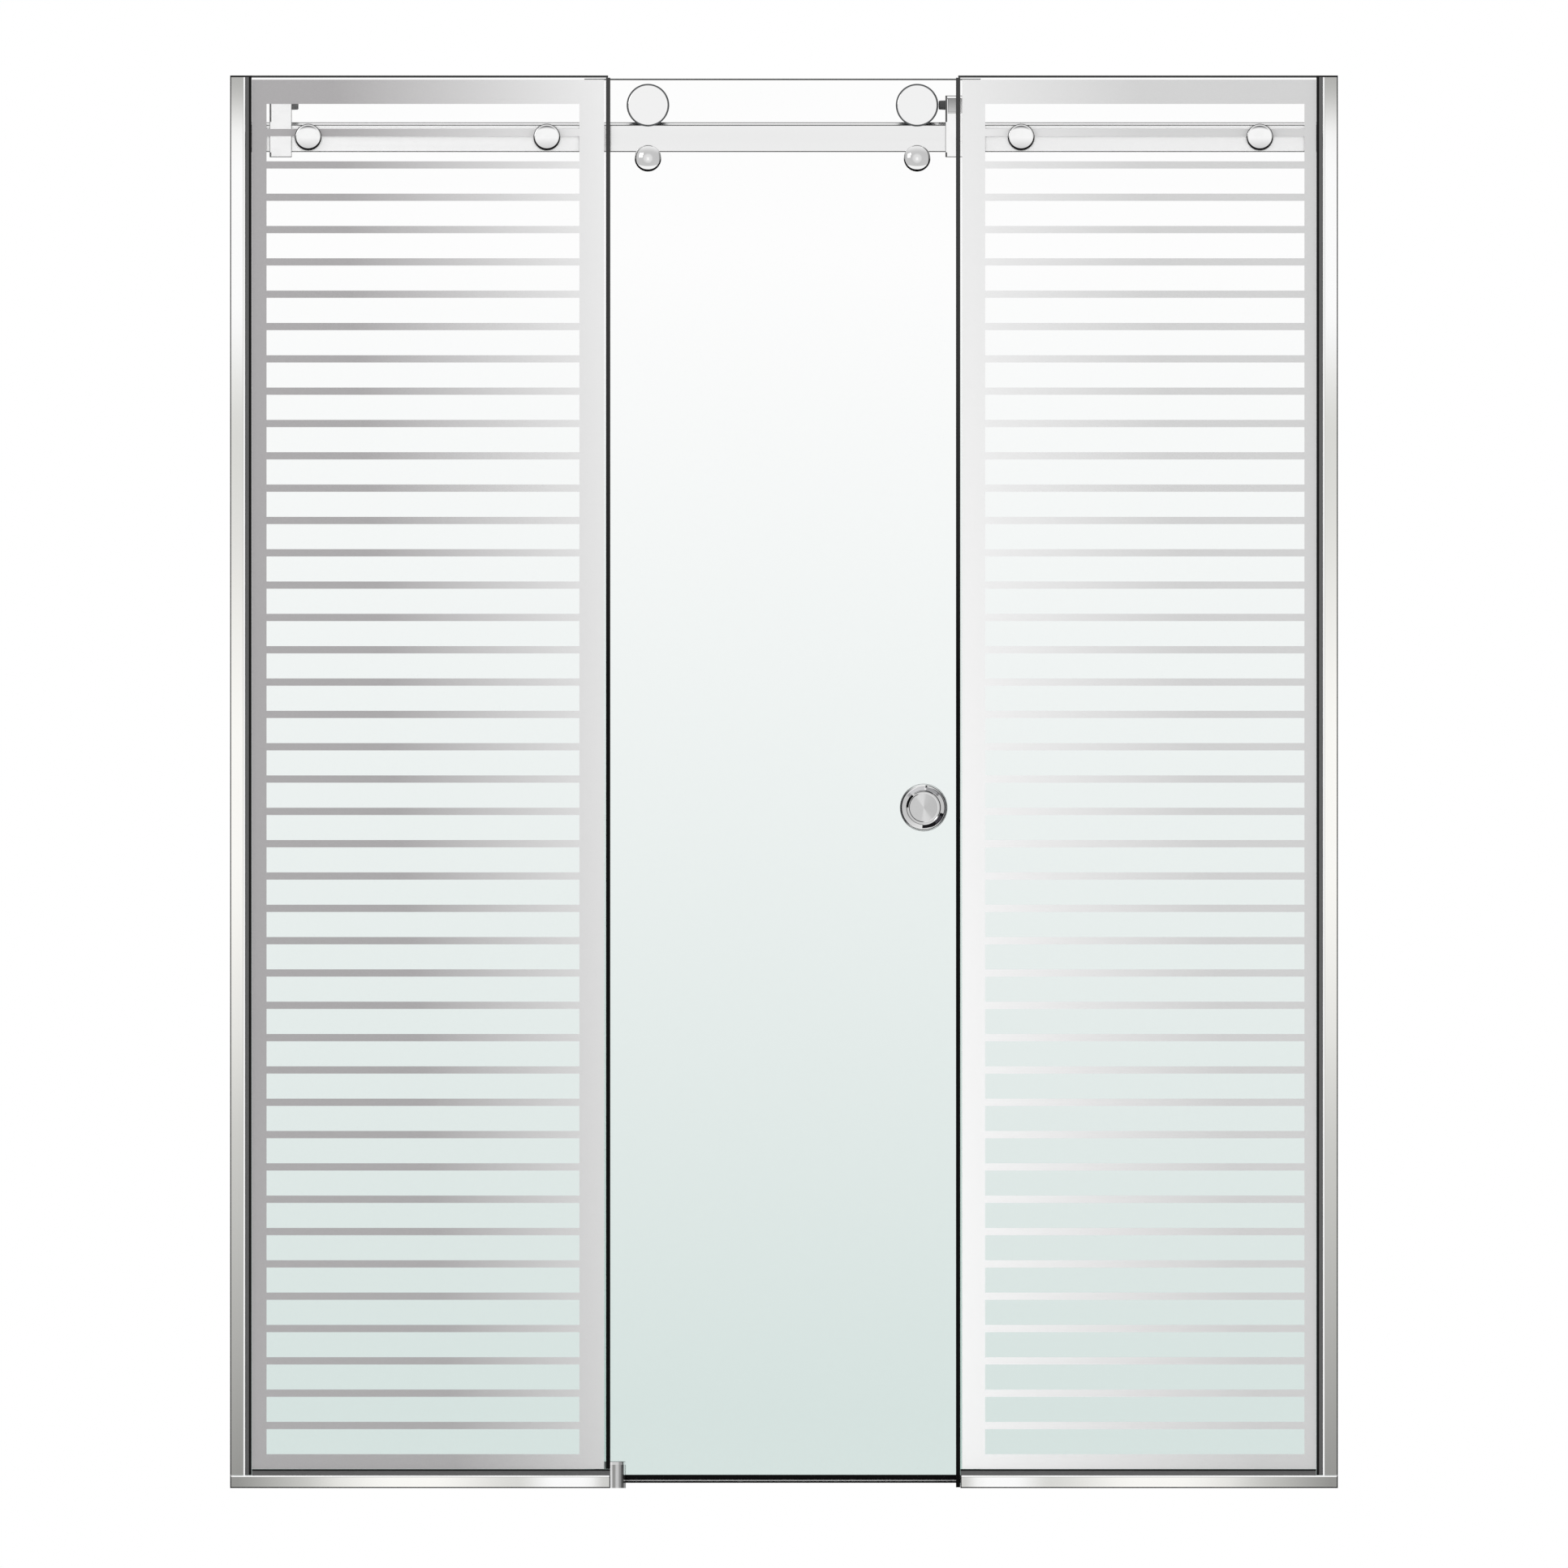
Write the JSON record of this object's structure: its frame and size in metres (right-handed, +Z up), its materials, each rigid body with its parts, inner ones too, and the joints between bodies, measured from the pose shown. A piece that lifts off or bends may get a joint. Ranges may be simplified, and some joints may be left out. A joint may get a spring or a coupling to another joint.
{
  "type": "sliding shower screen",
  "caption": "Alcove shower screen: two fixed glass panels with a striped frosted print, and a clear glass door on grooved rollers that slides along a rail behind them.",
  "frame": {"origin": "centre of the whole screen across its width and depth, on the plane that the sill channels stand on", "axes": "+X to the right as seen from the bathroom, +Y into the shower, +Z up"},
  "size_m": [1.49, 0.0646, 1.9],
  "materials": {
    "clear_glass": "clear toughened, polished edges",
    "frosted_print": "satin grey enamel fired on the glass",
    "polished_aluminium": "bright polished anodised",
    "dark_gasket": "matt dark grey",
    "black_seal": "satin black",
    "brushed_steel": "fine brushed",
    "nylon": "satin moulded",
    "bearing_steel": "ground",
    "chrome": "mirror polished"
  },
  "bodies": {
    "frame": {"edge_seal_left": "black_seal", "edge_seal_right": "black_seal", "fixed_glass_left": "clear_glass", "fixed_glass_right": "clear_glass", "fixing_cap_left_inner": "chrome", "fixing_cap_left_outer": "chrome", "fixing_cap_right_inner": "chrome", "fixing_cap_right_outer": "chrome", "fixing_screw_left_inner": "brushed_steel", "fixing_screw_left_outer": "brushed_steel", "fixing_screw_right_inner": "brushed_steel", "fixing_screw_right_outer": "brushed_steel", "fixing_spacer_left_inner": "chrome", "fixing_spacer_left_outer": "chrome", "fixing_spacer_right_inner": "chrome", "fixing_spacer_right_outer": "chrome", "floor_guide_body": "chrome", "floor_guide_liner": "nylon", "frosted_print_left": "frosted_print", "frosted_print_right": "frosted_print", "rail": "polished_aluminium", "rail_end_bracket_left": "chrome", "rail_end_bracket_right": "chrome", "sill_channel_left": "polished_aluminium", "sill_channel_right": "polished_aluminium", "sill_gasket_left": "dark_gasket", "sill_gasket_right": "dark_gasket", "stop_block_left": "chrome", "stop_block_right": "chrome", "stop_bumper_left": "black_seal", "stop_bumper_right": "black_seal", "stop_screw_left": "brushed_steel", "stop_screw_right": "brushed_steel", "wall_gasket_left": "dark_gasket", "wall_gasket_right": "dark_gasket", "wall_profile_left": "polished_aluminium", "wall_profile_right": "polished_aluminium"},
    "door": {"door_glass": "clear_glass", "door_bottom_seal": "black_seal", "door_side_seal": "black_seal", "handle_front": "chrome", "handle_back": "chrome", "roller_axle_left": "brushed_steel", "roller_spacer_left": "nylon", "roller_back_cap_left": "chrome", "anti_jump_knob_left": "chrome", "anti_jump_sleeve_left": "nylon", "anti_jump_back_cap_left": "chrome", "roller_axle_right": "brushed_steel", "roller_spacer_right": "nylon", "roller_back_cap_right": "chrome", "anti_jump_knob_right": "chrome", "anti_jump_sleeve_right": "nylon", "anti_jump_back_cap_right": "chrome"},
    "roller_left": {"wheel_left": "nylon", "bearing_left": "bearing_steel", "wheel_cap_left": "chrome"},
    "roller_right": {"wheel_right": "nylon", "bearing_right": "bearing_steel", "wheel_cap_right": "chrome"}
  },
  "joints": [
    {"name": "door_slide", "type": "slide", "parent": "frame", "child": "door", "axis": [-1, 0, 0], "range_m": [0, 0.441]},
    {"name": "roller_left_spin", "type": "hinge", "parent": "door", "child": "roller_left", "pos_m": [-0.183, 0.00147, 1.8601], "axis": [0, 1, 0], "continuous": true},
    {"name": "roller_right_spin", "type": "hinge", "parent": "door", "child": "roller_right", "pos_m": [0.179, 0.00147, 1.8601], "axis": [0, 1, 0], "continuous": true}
  ],
  "couplings": [
    {"joint": "roller_left_spin", "follows": "door_slide", "rad_per_m": -43.86},
    {"joint": "roller_right_spin", "follows": "door_slide", "rad_per_m": -43.86}
  ]
}
